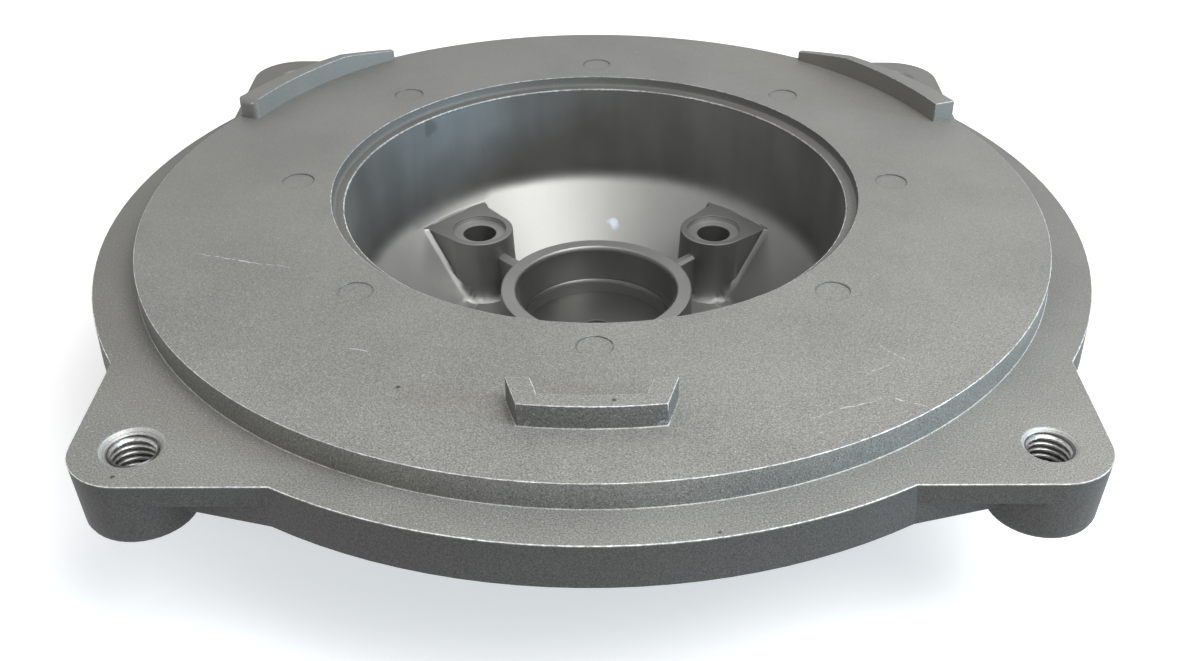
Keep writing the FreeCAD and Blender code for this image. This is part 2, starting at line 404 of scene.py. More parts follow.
def grain_group():
    """Dimples of blasting: soft noise with small round pits, and painted glints of a few facets that catch
    the light.
    """
    tree, given, result = group_tree(
        "Blasted grain",
        [("Place", "NodeSocketVector", None), ("Size", "NodeSocketFloat", 0.0007)],
        [("Height", "NodeSocketFloat"), ("Tone", "NodeSocketFloat"), ("Glint", "NodeSocketFloat")],
    )
    tone = noise(tree, given["Place"], given["Size"], detail=2.0, rough=0.7)
    pits = node(tree, "ShaderNodeTexVoronoi", {"Vector": given["Place"]}, feature="F1")
    plug(tree, maths(tree, "DIVIDE", 1.0, given["Size"]), pits.inputs["Scale"])
    plug(tree, maths(tree, "MULTIPLY_ADD", pits.outputs["Distance"], 0.5, tone), result["Height"])
    plug(tree, tone, result["Tone"])
    moved = vectors(tree, "ADD", given["Place"], (0.1, 0.2, 0.3))
    plug(tree, fade(tree, noise(tree, moved, given["Size"], detail=0.0), 0.68, 0.8), result["Glint"])
    return tree


def wear_group():
    """Bright line along an edge: widest at its middle, broken up by noise of two sizes."""
    tree, given, result = group_tree(
        "Edge wear",
        [
            ("Place", "NodeSocketVector", None),
            ("Fold", "NodeSocketFloat", 0.0),
            ("Amount", "NodeSocketFloat", 1.0),
        ],
        [("Mask", "NodeSocketFloat")],
    )
    lumps = noise(tree, given["Place"], 0.009, detail=2.0, rough=0.6)
    crumbs = noise(tree, given["Place"], 0.0011, detail=2.0, rough=0.7)
    strong = fade(tree, lumps, 0.3, 0.65, 0.45, 1.0)
    ragged = maths(tree, "ADD", given["Fold"], maths(tree, "MULTIPLY_ADD", crumbs, 1.8, -0.9))
    line = fade(tree, ragged, 0.35, 0.8)
    plug(tree, product(tree, line, strong, given["Amount"]), result["Mask"])
    return tree


def scratch_group():
    """One fine wavy scratch between two points, thinner and broken towards its ends."""
    tree, given, result = group_tree(
        "Scratch",
        [
            ("Place", "NodeSocketVector", None),
            ("From", "NodeSocketVector", None),
            ("To", "NodeSocketVector", None),
            ("Width", "NodeSocketFloat", 0.00022),
        ],
        [("Mask", "NodeSocketFloat")],
    )
    waves = node(tree, "ShaderNodeTexNoise", {"Vector": given["Place"], "Scale": 350.0, "Detail": 1.0})
    shift = vectors(tree, "SUBTRACT", waves.outputs["Color"], (0.5, 0.5, 0.5))
    moved = vectors(tree, "MULTIPLY_ADD", shift, (0.002, 0.002, 0.0), given["Place"])
    run = vectors(tree, "SUBTRACT", given["To"], given["From"])
    out = vectors(tree, "SUBTRACT", moved, given["From"])
    length_squared = vectors(tree, "DOT_PRODUCT", run, run)
    share = maths(tree, "DIVIDE", vectors(tree, "DOT_PRODUCT", out, run), length_squared)
    share = maths(tree, "MINIMUM", maths(tree, "MAXIMUM", share, 0.0), 1.0)
    away = vectors(tree, "DISTANCE", out, scaled(tree, run, share))
    middle = maths(tree, "SINE", product(tree, share, math.pi))
    broken = fade(tree, noise(tree, given["Place"], 0.0012, detail=1.0), 0.35, 0.6)
    width = product(tree, given["Width"], maths(tree, "MULTIPLY_ADD", middle, 0.8, 0.3))
    line = maths(tree, "SUBTRACT", 1.0, maths(tree, "DIVIDE", away, width), clamp=True)
    plug(tree, product(tree, line, broken), result["Mask"])
    return tree


def spot_group():
    """Small uneven spot about one point."""
    tree, given, result = group_tree(
        "Spot",
        [
            ("Place", "NodeSocketVector", None),
            ("Centre", "NodeSocketVector", None),
            ("Reach", "NodeSocketFloat", 0.0006),
        ],
        [("Mask", "NodeSocketFloat")],
    )
    away = vectors(tree, "DISTANCE", given["Place"], given["Centre"])
    lumps = noise(tree, given["Place"], 0.0025, detail=1.0)
    reach = product(tree, given["Reach"], maths(tree, "MULTIPLY_ADD", lumps, 1.6, 0.2))
    plug(tree, fade(tree, maths(tree, "DIVIDE", away, reach), 1.0, 0.4), result["Mask"])
    return tree


# The casting


def store(tree, geometry, name, value, domain, kind="FLOAT"):
    """Keeps a field on the mesh as a named attribute."""
    made = node(tree, "GeometryNodeStoreNamedAttribute", {"Geometry": geometry, "Name": name},
                data_type=kind, domain=domain)
    plug(tree, value, next(item for item in made.inputs if item.name == "Value" and item.enabled))
    return made.outputs["Geometry"]


def geometry_tree(name):
    """Empty geometry tree, with its source and its sink."""
    tree = bpy.data.node_groups.new(name, "GeometryNodeTree")
    tree.interface.new_socket("Geometry", in_out="INPUT", socket_type="NodeSocketGeometry")
    tree.interface.new_socket("Geometry", in_out="OUTPUT", socket_type="NodeSocketGeometry")
    return tree, tree.nodes.new("NodeGroupInput").outputs[0], tree.nodes.new("NodeGroupOutput").inputs[0]


def at_ring(tree, place, centre_y, radius, height):
    """1 near a level circle about the axis at (0, centre_y)."""
    return below(tree, ring_distance(tree, place, centre_y, radius, height), ring_reach)


def round_width(tree, place):
    """How far the edge at a place is rounded. A later line of the table goes over an earlier one."""
    values = settings()
    height = split(tree, place)[2]
    from_bowl = axis_distance(tree, place, bowl_y)
    from_boss = corner_distance(tree, place, bowl_y, boss_reach)
    from_lug = corner_distance(tree, place, 0.0, lug_reach)
    flat_place = vectors(tree, "MULTIPLY", place, (1.0, 1.0, 0.0))
    from_tab_start = vectors(tree, "DISTANCE", flat_place, left_tab_start)
    on_spigot = near(tree, height, spigot_h, level_reach)
    at_boss_top = below(tree, height, boss_top_z + 0.0002)
    beside_hole = maths(tree, "GREATER_THAN", from_lug, lug_hole_r + 0.001)
    tight = (
        near(tree, height, -lug_plate_t, level_reach),
        below(tree, height, floor_z - 0.001),
        below(tree, from_tab_start, 0.003),
    )
    widths = (
        (at_ring(tree, place, bowl_y, mouth_r, mouth_step_z), mouth_round),
        (at_ring(tree, place, bowl_y, lip_r, mouth_step_z), lip_round),
        (at_ring(tree, place, bowl_y, hub_r, hub_top_z), hub_round),
        (product(tree, below(tree, from_boss, spotface_r + level_reach), at_boss_top), spotface_round),
        (product(tree, near(tree, from_bowl, mark_reach, mark_r + 0.0005), on_spigot), mark_round),
        (product(tree, near(tree, height, -lug_depth, 0.0002), beside_hole), values.widest_round),
        (highest(tree, tight), 0.0),
    )
    width = values.edge_round
    for there, here in widths:
        width = maths(tree, "MULTIPLY_ADD", there, maths(tree, "SUBTRACT", here, width), width)
    return width


def sharp_edges(tree, place):
    """1 on the edges to round: those that stand out, and the corners at the mouth, spigot and front tab.

    An edge counts as sharp from 25 degrees on, and deep in the bowl from 60 degrees on.
    """
    least_turn = math.radians(25)
    more_when_deep = math.radians(35)
    depth, height = split(tree, place)[1:3]
    in_bowl = below(tree, axis_distance(tree, place, bowl_y), bowl_side_r + 0.0005)
    deep = product(tree, in_bowl, below(tree, height, bowl_side_z + 0.001))
    least = maths(tree, "MULTIPLY_ADD", deep, more_when_deep, least_turn)
    angles = node(tree, "GeometryNodeInputMeshEdgeAngle").outputs
    at_tab_foot = product(tree, below(tree, depth, front_tab_y), near(tree, height, spigot_h, level_reach))
    allowed = (
        maths(tree, "GREATER_THAN", angles["Signed Angle"], 0.0),
        at_ring(tree, place, bowl_y, mouth_r, mouth_step_z),
        at_ring(tree, place, 0.0, spigot_r, 0.0),
        at_tab_foot,
    )
    turned = maths(tree, "GREATER_THAN", angles["Unsigned Angle"], least)
    return product(tree, highest(tree, allowed), turned)


def round_weights():
    """Tree that says how far each sharp edge is rounded, as a share of the widest round."""
    tree, source, sink = geometry_tree("Edge rounds")
    place = node(tree, "GeometryNodeInputPosition").outputs[0]
    share = maths(tree, "DIVIDE", round_width(tree, place), settings().widest_round)
    weight = product(tree, sharp_edges(tree, place), share)
    plug(tree, store(tree, source, "bevel_weight_edge", weight, "EDGE"), sink)
    return tree


def on_domain(tree, value, domain):
    """A field worked out on edges or faces, and then averaged where it is used."""
    return node(tree, "GeometryNodeFieldOnDomain", {0: value}, data_type="FLOAT", domain=domain).outputs[0]


def fold_marks():
    """Tree that marks the middle row of each rounded edge, 1 where it stands out and -1 in a corner.

    Only points among narrow strips are marked, so no mark runs out over a wide face. An edge that was
    left hard is also marked, so that shading stops at it.
    """
    half_turn = math.radians(43)
    half_turn_reach = math.radians(13)
    hard_turn = math.radians(56)
    widest_strip = 0.00002
    tree, source, sink = geometry_tree("Fold marks")
    angles = node(tree, "GeometryNodeInputMeshEdgeAngle").outputs
    rounded = maths(tree, "COMPARE", angles["Unsigned Angle"], half_turn, half_turn_reach)
    marked = on_domain(tree, product(tree, rounded, maths(tree, "SIGN", angles["Signed Angle"])), "EDGE")
    areas = on_domain(tree, node(tree, "GeometryNodeInputMeshFaceArea").outputs[0], "FACE")
    fold = product(tree, marked, 2.0, below(tree, areas, widest_strip))
    marked_mesh = store(tree, source, "edge_fold", fold, "POINT")
    hard = maths(tree, "GREATER_THAN", angles["Unsigned Angle"], hard_turn)
    plug(tree, store(tree, marked_mesh, "sharp_edge", hard, "EDGE", "BOOLEAN"), sink)
    return tree


def add_tree(piece, name, tree):
    """Adds a geometry tree to a piece's modifiers."""
    piece.modifiers.new(name, "NODES").node_group = tree


def soften_edges(casting):
    """Modifiers that join the casting's loose triangles, round its sharp edges and shade it smoothly."""
    weld = casting.modifiers.new("Join triangles", "WELD")
    weld.merge_threshold = 0.000002
    flats = casting.modifiers.new("Join flats", "DECIMATE")
    flats.decimate_type = "DISSOLVE"
    flats.angle_limit = math.radians(0.6)
    add_tree(casting, "Edge rounds", round_weights())
    rounds = casting.modifiers.new("Round edges", "BEVEL")
    rounds.width = settings().widest_round
    rounds.segments = 2
    rounds.limit_method = "WEIGHT"
    rounds.use_clamp_overlap = False
    add_tree(casting, "Fold marks", fold_marks())
    shade = casting.modifiers.new("Even shading", "WEIGHTED_NORMAL")
    shade.mode = "FACE_AREA_WITH_ANGLE"
    shade.weight = 50
    shade.keep_sharp = True


def bowl_mask(tree, place):
    """1 on the bowl's inside below its lip, and 0 on the top faces and the underside."""
    height = split(tree, place)[2]
    slope = (bowl_side_r - floor_r) / (bowl_side_z - floor_z)
    narrower = product(tree, maths(tree, "SUBTRACT", height, bowl_side_z), slope)
    limit = maths(tree, "ADD", maths(tree, "MINIMUM", narrower, 0.0), bowl_side_r + wall / 2)
    inside = maths(tree, "GREATER_THAN", limit, axis_distance(tree, place, bowl_y))
    above_base = maths(tree, "GREATER_THAN", height, floor_z - wall / 2)
    below_lip = fade(tree, height, mouth_step_z - 0.0002, mouth_step_z - 0.0008)
    return product(tree, inside, above_base, below_lip)


def bowl_radius(tree, height):
    """Radius of the bowl's turned inside at a height: a drafted side, a narrow slope, then a cone."""
    from_fold = maths(tree, "SUBTRACT", height, bowl_side_z)
    draft = (lip_r - bowl_side_r) / (mouth_step_z - bowl_side_z)
    slope = (bowl_side_r - floor_r) / (bowl_side_z - floor_z)
    on_side = product(tree, maths(tree, "MAXIMUM", from_fold, 0.0), draft)
    on_cone = product(tree, maths(tree, "MINIMUM", from_fold, 0.0), slope)
    unfolded = maths(tree, "ADD", maths(tree, "ADD", on_side, on_cone), bowl_side_r)
    fold_slope = (fold_top[0] - fold_foot[0]) / (fold_top[1] - fold_foot[1])
    from_fold_top = maths(tree, "SUBTRACT", height, fold_top[1])
    across = maths(tree, "MULTIPLY_ADD", from_fold_top, fold_slope, fold_top[0])
    return maths(tree, "MINIMUM", unfolded, across)


def facing_axis(tree, place, own):
    """How squarely a face looks at the bowl's axis, 1 at best, and the level way to the axis."""
    level = (1.0, 1.0, 0.0)
    to_axis = vectors(tree, "SUBTRACT", (0.0, bowl_y, 0.0), place)
    inward = vectors(tree, "NORMALIZE", vectors(tree, "MULTIPLY", to_axis, level))
    facing = vectors(tree, "NORMALIZE", vectors(tree, "MULTIPLY", own, level))
    return vectors(tree, "DOT_PRODUCT", facing, inward), inward


def foot_mask(tree, place):
    """1 on the bosses' sloping feet, which look neither at the bowl's axis nor away from it."""
    own = node(tree, "ShaderNodeNewGeometry").outputs["True Normal"]
    rise = split(tree, own)[2]
    facing = maths(tree, "ABSOLUTE", facing_axis(tree, place, own)[0])
    return product(
        tree,
        fade(tree, rise, 0.12, 0.22),
        fade(tree, rise, cone_rise - 0.021, cone_rise - 0.041),
        fade(tree, facing, math.cos(math.radians(9)), math.cos(math.radians(14))),
        below(tree, split(tree, place)[2], boss_top_z - 0.0003),
        bowl_mask(tree, place),
    )


def eased(tree, first, second, share):
    """A vector that goes from the first to the second as the share goes from 0 to 1."""
    return vectors(tree, "ADD", first, scaled(tree, vectors(tree, "SUBTRACT", second, first), share))


def turned_normal(tree, place):
    """Shading normal of the bowl.

    On the turned side and cone it points at the bowl's axis and tilts up by the height alone, so the fold
    between them is soft. On the bosses' sloping feet it is part of the way to the face's own normal.
    """
    side_rise = 0.04
    foot_share = 0.35
    geometry = node(tree, "ShaderNodeNewGeometry").outputs
    own = geometry["True Normal"]
    height = split(tree, place)[2]
    facing, inward = facing_axis(tree, place, own)
    off = maths(tree, "SUBTRACT", axis_distance(tree, place, bowl_y), bowl_radius(tree, height))
    share = product(
        tree,
        fade(tree, facing, math.cos(math.radians(9)), math.cos(math.radians(6))),
        fade(tree, maths(tree, "ABSOLUTE", off), 0.0009, 0.0005),
        fade(tree, height, mouth_step_z - 0.0003, mouth_step_z - 0.0012),
        fade(tree, height, floor_z + 0.0035, floor_z + 0.0045),
    )
    tilt = fade(tree, height, fold_top[1] + 0.0006, fold_foot[1] - 0.0008, side_rise, cone_rise)
    spread = maths(tree, "SQRT", inverse(tree, product(tree, tilt, tilt)))
    straight = vectors(tree, "ADD", scaled(tree, inward, spread), join(tree, z=tilt))
    flatter = eased(tree, geometry["Normal"], own, product(tree, foot_mask(tree, place), foot_share))
    return vectors(tree, "NORMALIZE", eased(tree, flatter, straight, share))


def casting_masks(tree, place):
    """Masks from 0 to 1 of the casting's surfaces and machined places, by name."""
    depth, height = split(tree, place)[1:3]
    normal = node(tree, "ShaderNodeNewGeometry").outputs["Normal"]
    rise = maths(tree, "ABSOLUTE", split(tree, normal)[2])
    from_axis = axis_distance(tree, place, bowl_y)
    from_boss = corner_distance(tree, place, bowl_y, boss_reach)
    from_lug = corner_distance(tree, place, 0.0, lug_reach)

    bowl = bowl_mask(tree, place)
    outside = inverse(tree, bowl)
    steep = fade(tree, rise, 0.6, 0.25)
    sloping = product(tree, fade(tree, rise, 0.95, 0.8), maths(tree, "SUBTRACT", bowl, steep))
    open_top = product(tree, outside, inverse(tree, steep))
    front_of_flange = fade(tree, depth, -0.09, -0.04)
    on_flange = fade(tree, height, 0.002, 0.001)
    under_flange = fade(tree, height, -0.0001, -0.0005)
    front_of_tab = fade(tree, depth, -0.075, -0.082)
    on_tab = fade(tree, height, spigot_h, spigot_h + 0.0004)
    at_mouth = fade(tree, from_axis, mouth_r + 0.0003, mouth_r)
    at_seat = fade(tree, from_axis, seat_r + 0.0014, seat_r + 0.001)
    under_hub_top = fade(tree, height, hub_top_z - 0.0002, hub_top_z - 0.0006)
    at_spotface = below(tree, from_boss, spotface_r + 0.0001)
    at_bolt_hole = below(tree, from_boss, bolt_hole_r + 0.0002)
    countersink = product(tree, below(tree, from_lug, countersink_r), fade(tree, height, 0.0, -0.0002))
    return {
        "bowl": bowl,
        "cone": maths(tree, "MAXIMUM", sloping, 0.0),
        "steep": steep,
        "skin": product(tree, under_flange, outside, inverse(tree, countersink)),
        "open top": open_top,
        "flange": product(tree, open_top, on_flange, front_of_flange),
        "tab front": product(tree, on_tab, front_of_tab, steep),
        "mouth step": product(tree, at_mouth, outside),
        "seat": product(tree, at_seat, under_hub_top),
        "spotface": product(tree, at_spotface, below(tree, height, boss_top_z - 0.0003)),
        "bolt hole": product(tree, at_bolt_hole, below(tree, height, spot_floor_z - 0.0003)),
        "countersink": countersink,
        "boss foot": foot_mask(tree, place),
    }


def painted_light_and_shade(tree, place, masks):
    """Painted light and shade of each surface, as shares to add to 1.

    The top is painted lighter towards the front right, and the bowl's cone towards the left.
    Steep faces, the flange's sides and rear, the front tab's face, the mouth step, the seat's floor,
    the bolt holes and the bosses' sloping feet are painted darker, as shade.
    """
    steep_outside = -0.2
    # Painted shade: steep faces are darker, by a fifth outside the bowl and by a quarter to a third in the
    # bowl, unevenly along upright streaks.
    wall_streaks = noise(tree, vectors(tree, "MULTIPLY", place, (1.0, 1.0, 0.2)), 0.014, detail=3.0, rough=0.6)
    steep_in_bowl = fade(tree, wall_streaks, 0.35, 0.65, -0.33, -0.24)
    more_in_bowl = maths(tree, "SUBTRACT", steep_in_bowl, steep_outside)
    steep_shade = maths(tree, "MULTIPLY_ADD", masks["bowl"], more_in_bowl, steep_outside)
    seat_tone = maths(tree, "MULTIPLY_ADD", masks["steep"], 0.72, -0.6)
    painted_top_light = vectors(tree, "DOT_PRODUCT", place, (0.72, -1.0, 0.0))
    painted_cone_light = vectors(tree, "DOT_PRODUCT", place, (-3.0, 0.0, 0.0))
    return (
        product(tree, masks["open top"], painted_top_light),
        product(tree, masks["cone"], painted_cone_light),
        product(tree, masks["seat"], seat_tone),
        product(tree, masks["steep"], steep_shade, inverse(tree, masks["seat"])),
        product(tree, masks["flange"], -0.14),
        product(tree, masks["tab front"], -0.28),
        product(tree, masks["mouth step"], -0.3),
        product(tree, masks["bolt hole"], -0.75),
        product(tree, masks["boss foot"], -0.35),
    )


def ring_lines(tree, place):
    """Broken outline of each ejector mark on the spigot face.

    The angle about the bowl's axis is wrapped to the nearest mark, whose centre is at the marks' reach.
    """
    across, depth, height = split(tree, place)[:3]
    marks = 8
    half = math.pi / marks
    bearing = maths(tree, "ARCTAN2", maths(tree, "SUBTRACT", depth, bowl_y), across)
    turn = maths(tree, "WRAP", bearing, half, -half)
    radius = axis_distance(tree, place, bowl_y)
    out = maths(tree, "SUBTRACT", product(tree, radius, maths(tree, "COSINE", turn)), mark_reach)
    away = vectors(tree, "LENGTH", join(tree, out, product(tree, radius, maths(tree, "SINE", turn))))
    from_line = maths(tree, "ABSOLUTE", maths(tree, "SUBTRACT", away, mark_r))
    line = fade(tree, from_line, 0.0003, 0.0001)
    broken = fade(tree, noise(tree, place, 0.004, detail=2.0), 0.35, 0.55, 0.2, 1.0)
    return product(tree, line, broken, fade(tree, height, spigot_h - 0.0006, spigot_h - 0.0004))


def wear_mask(tree, place, fold, amount):
    """Bright wear along the edges whose fold is towards 1."""
    return place_group(tree, "Edge wear", {"Place": place, "Fold": fold, "Amount": amount})["Mask"]


def worn_edges_and_foot_highlight(tree, place):
    """Masks of the worn edges that stand out, and of a painted highlight along the concave corner at the
    spigot's foot.
    """
    depth, height = split(tree, place)[1:3]
    from_lug = corner_distance(tree, place, 0.0, lug_reach)
    from_bowl = axis_distance(tree, place, bowl_y)
    from_centre = axis_distance(tree, place, 0.0)
    fold = node(tree, "ShaderNodeAttribute", attribute_name="edge_fold").outputs["Fac"]
    off_hole = fade(tree, from_lug, countersink_r + 0.0004, countersink_r + 0.0008, 0.4, 1.0)
    less_behind = fade(tree, depth, -0.02, 0.05, 1.0, 0.35)
    at_mouth = fade(tree, from_bowl, mouth_r + 0.0012, mouth_r + 0.0004, 0.0, 0.55)
    exposed = maths(tree, "MAXIMUM", product(tree, off_hole, less_behind), at_mouth)
    on_top = fade(tree, height, -0.0012, -0.0006)
    over_flange = fade(tree, height, -0.001, -0.0005)
    near_foot = fade(tree, from_centre, spigot_r - 0.02, spigot_r - 0.019)
    worn = wear_mask(tree, place, fold, product(tree, exposed, on_top))
    # Painted highlight: a bright line painted along the concave corners at the spigot's foot.
    corner = wear_mask(tree, place, product(tree, fold, -1.0), product(tree, over_flange, near_foot))
    return worn, corner


def scratch_mask(tree, place):
    """Every scratch of the spigot face."""
    masks = []
    for start, end in scratch_runs:
        run = {"Place": place, "From": (*start, spigot_h), "To": (*end, spigot_h)}
        masks.append(place_group(tree, "Scratch", run)["Mask"])
    return product(tree, highest(tree, masks), fade(tree, split(tree, place)[2], -0.0004, -0.0001))


def spot_mask(tree, place, centre, reach):
    """One uneven spot."""
    return place_group(tree, "Spot", {"Place": place, "Centre": centre, "Reach": reach})["Mask"]


def turning_lines(tree, place):
    """Fine bright rings in the countersinks, fainter in the rear ones."""
    depth, height = split(tree, place)[1:3]
    from_lug = corner_distance(tree, place, 0.0, lug_reach)
    lines = noise(tree, join(tree, from_lug, 0.0, product(tree, height, 2.0)), 0.0003, detail=1.0)
    return product(tree, fade(tree, depth, 0.0, 0.05, 1.0, 0.1), fade(tree, lines, 0.3, 0.7, 0.05, 0.45))


def casting_lightness(tree, place, masks, grain_tone, stain):
    """Factor on the casting's colour, from its grain, its stains and the light and shade painted on its
    surfaces.
    """
    stain_tone = fade(tree, stain, 0.3, 0.7, -0.08, 0.06)
    lightness = maths(tree, "ADD", maths(tree, "ADD", grain_tone, 1.0), stain_tone)
    for tone in painted_light_and_shade(tree, place, masks):
        lightness = product(tree, lightness, maths(tree, "ADD", tone, 1.0))
    return lightness


def casting_colour(tree, place, masks, lightness, glint, worn, corner):
    """The casting's metal and darker skin, with its marks, cut faces, wear, painted glints and painted
    highlights laid over them in order.
    """
    values = settings()
    metal = opaque(values.metal_colour)
    bowl = opaque(values.bowl_colour)
    dark = opaque(values.skin_and_shade_colour)
    bare = opaque(values.worn_colour)
    pit_colour = opaque(values.metal_colour, 0.12)
    pits = highest(tree, [spot_mask(tree, place, *pit) for pit in pit_places])
    layers = (
        # Painted glints of the grain's facets.
        (glint, 1.0, bare),
        (masks["countersink"], turning_lines(tree, place), bare),
        (masks["spotface"], 0.2, bare),
        (scratch_mask(tree, place), 0.7, bare),
        # Painted highlight: a bluish-white glint on the bowl's cone.
        (spot_mask(tree, place, glint_place, glint_reach), 0.35, opaque(glint_colour)),
        (spot_mask(tree, place, smudge_place, smudge_reach), 0.4, dark),
        (worn, values.edge_wear, bare),
        # Painted highlight along the concave corner at the spigot's foot.
        (corner, 0.45, bare),
        (ring_lines(tree, place), 0.55, dark),
        (pits, 0.8, pit_colour),
    )
    # The skin's dark colour is partly painted shade on the sides and underside.
    colour = blend(tree, masks["skin"], blend(tree, masks["bowl"], metal, bowl), dark)
    colour = tinted(tree, colour, lightness)
    for mask, strength, shade in layers:
        colour = blend(tree, product(tree, mask, strength), colour, shade)
    return colour


def casting_roughness(tree, masks, worn, stain):
    """The casting's roughness: uneven where blasted, and smoother where it is cut, worn or in the bowl."""
    roughness = fade(tree, stain, 0.3, 0.7, 0.58, 0.64)
    smoother = (
        (masks["bowl"], -0.08),
        (masks["seat"], -0.15),
        (highest(tree, (worn, masks["countersink"])), -0.12),
    )
    for mask, change in smoother:
        roughness = maths(tree, "MULTIPLY_ADD", mask, change, roughness)
    return roughness


def casting_normal(tree, place, masks, dimples):
    """Shading normal of the casting: dimples on the blasted faces, and upright streaks on the skin."""
    streak = noise(tree, vectors(tree, "MULTIPLY", place, (1.0, 1.0, 5.0)), 0.006, detail=4.0, rough=0.6)
    relief = maths(tree, "MULTIPLY_ADD", product(tree, masks["skin"], 1.2), streak, dimples)
    rough_share = maths(tree, "MULTIPLY_ADD", highest(tree, (masks["bowl"], masks["seat"])), -0.85, 1.0)
    height = product(tree, relief, rough_share)
    turned = turned_normal(tree, place)
    inputs = {"Height": height, "Distance": 0.00006, "Strength": 0.6, "Normal": turned}
    return node(tree, "ShaderNodeBump", inputs).outputs["Normal"]


def empty_material(name):
    """New material, with its tree and its surface shader's inputs."""
    material = bpy.data.materials.new(name)
    material.use_nodes = True
    return material, material.node_tree, material.node_tree.nodes["Principled BSDF"].inputs


def casting_material():
    """Blasted die casting: grainy top, darker sides partly as painted shade, smoother bowl, cut seats,
    bright worn edges, and painted light, shade and glints.
    """
    values = settings()
    material, tree, surface = empty_material("cast_aluminium")
    place = node(tree, "ShaderNodeTexCoord").outputs["Object"]
    masks = casting_masks(tree, place)
    worn, corner = worn_edges_and_foot_highlight(tree, place)
    stain = noise(tree, place, 0.03, detail=4.0, rough=0.6)
    grain = place_group(tree, "Blasted grain", {"Place": place, "Size": values.grain_size})
    toward_front = fade(tree, split(tree, place)[1], 0.05, -0.12, 0.22, 1.0)
    grain_share = product(tree, toward_front, maths(tree, "MULTIPLY_ADD", masks["bowl"], -0.75, 1.0))
    unevenness = maths(tree, "SUBTRACT", grain["Tone"], 0.5)
    grain_tone = product(tree, unevenness, values.grain_contrast, grain_share)
    # Painted glints of the grain, fainter on the skin and towards the back.
    glint_strength = maths(tree, "MULTIPLY_ADD", masks["skin"], -0.17, 0.2)
    glint = product(tree, grain["Glint"], glint_strength, grain_share)
    lightness = casting_lightness(tree, place, masks, grain_tone, stain)
    colour = casting_colour(tree, place, masks, lightness, glint, worn, corner)
    plug(tree, colour, surface["Base Color"])
    plug(tree, maths(tree, "MULTIPLY_ADD", masks["bowl"], 0.5, 0.45), surface["Metallic"])
    plug(tree, casting_roughness(tree, masks, worn, stain), surface["Roughness"])
    plug(tree, casting_normal(tree, place, masks, grain["Height"]), surface["Normal"])
    return material


class COVER_OT_effects(Operator):
    """Make the shader groups that the finishes share"""

    bl_idname = "cover.effects"
    bl_label = "Shared effects"

    def execute(self, context):
        grain_group()
        wear_group()
        scratch_group()
        spot_group()
        return {"FINISHED"}


class COVER_OT_casting(Operator):
    """Round the casting's edges and give it its blasted finish"""

    bl_idname = "cover.casting"
    bl_label = "Casting"

    def execute(self, context):
        casting = frame["nodes"]["cover_casting"]
        soften_edges(casting)
        slot = casting.material_slots[0]
        slot.link = "OBJECT"
        slot.material = casting_material()
        return {"FINISHED"}


# Threads


def grid_mesh(name, points, closed):
    """Mesh on an array of points (rows, columns, 3); a closed one is joined round and from end to end."""
    rows, columns = points.shape[:2]
    index = np.arange(rows * columns).reshape(rows, columns)
    if closed:
        index = np.pad(index, ((0, 1), (0, 1)), mode="wrap")
    corners = [index[:-1, :-1], index[:-1, 1:], index[1:, 1:], index[1:, :-1]]
    faces = np.stack(corners, axis=-1).reshape(-1, 4)
    mesh = bpy.data.meshes.new(name)
    mesh.from_pydata(points.reshape(-1, 3).tolist(), [], faces.tolist())
    mesh.polygons.foreach_set("use_smooth", np.ones(len(faces), bool))
    piece = bpy.data.objects.new(name, mesh)
    bpy.context.scene.collection.objects.link(piece)
    return piece


def thread_points(centre, low_z, high_z):
    """Tube lining a lug's hole.

    The inner wall's radius is the hole's, less the ridge's height times a wave of the turn, which is the
    height over the pitch less the angle over a full turn. The wave is 1 within crest of the turn's middle
    and falls to 0 at root. The radius is never less than the countersink's cone. The outer wall lies just
    inside the metal, and the last row meets the first, which closes the tube.
    """
    values = settings()
    rows_per_turn = 14
    crest = 0.11
    root = 0.43
    into_metal = 0.00005
    steps = int((high_z - low_z) / values.thread_pitch * rows_per_turn)
    angle = np.linspace(2 * np.pi, 0.0, values.thread_sides, endpoint=False)[None, :]
    height = np.linspace(low_z, high_z, steps)[:, None]
    turn = (height / values.thread_pitch - angle / (2 * np.pi)) % 1.0
    wave = np.clip((root - np.abs(turn - 0.5)) / (root - crest), 0.0, 1.0)
    inner = np.maximum(lug_hole_r - values.thread_depth * wave, lug_hole_r + height + countersink_h)
    outer = np.full_like(inner[:2], lug_hole_r + into_metal)
    radius = np.concatenate([inner, outer], axis=0)
    level = np.concatenate([height, [[high_z], [low_z]]], axis=0) + 0.0 * angle
    x = centre[0] + radius * np.cos(angle)
    y = centre[1] + radius * np.sin(angle)
    return np.stack([x, y, level], axis=-1)


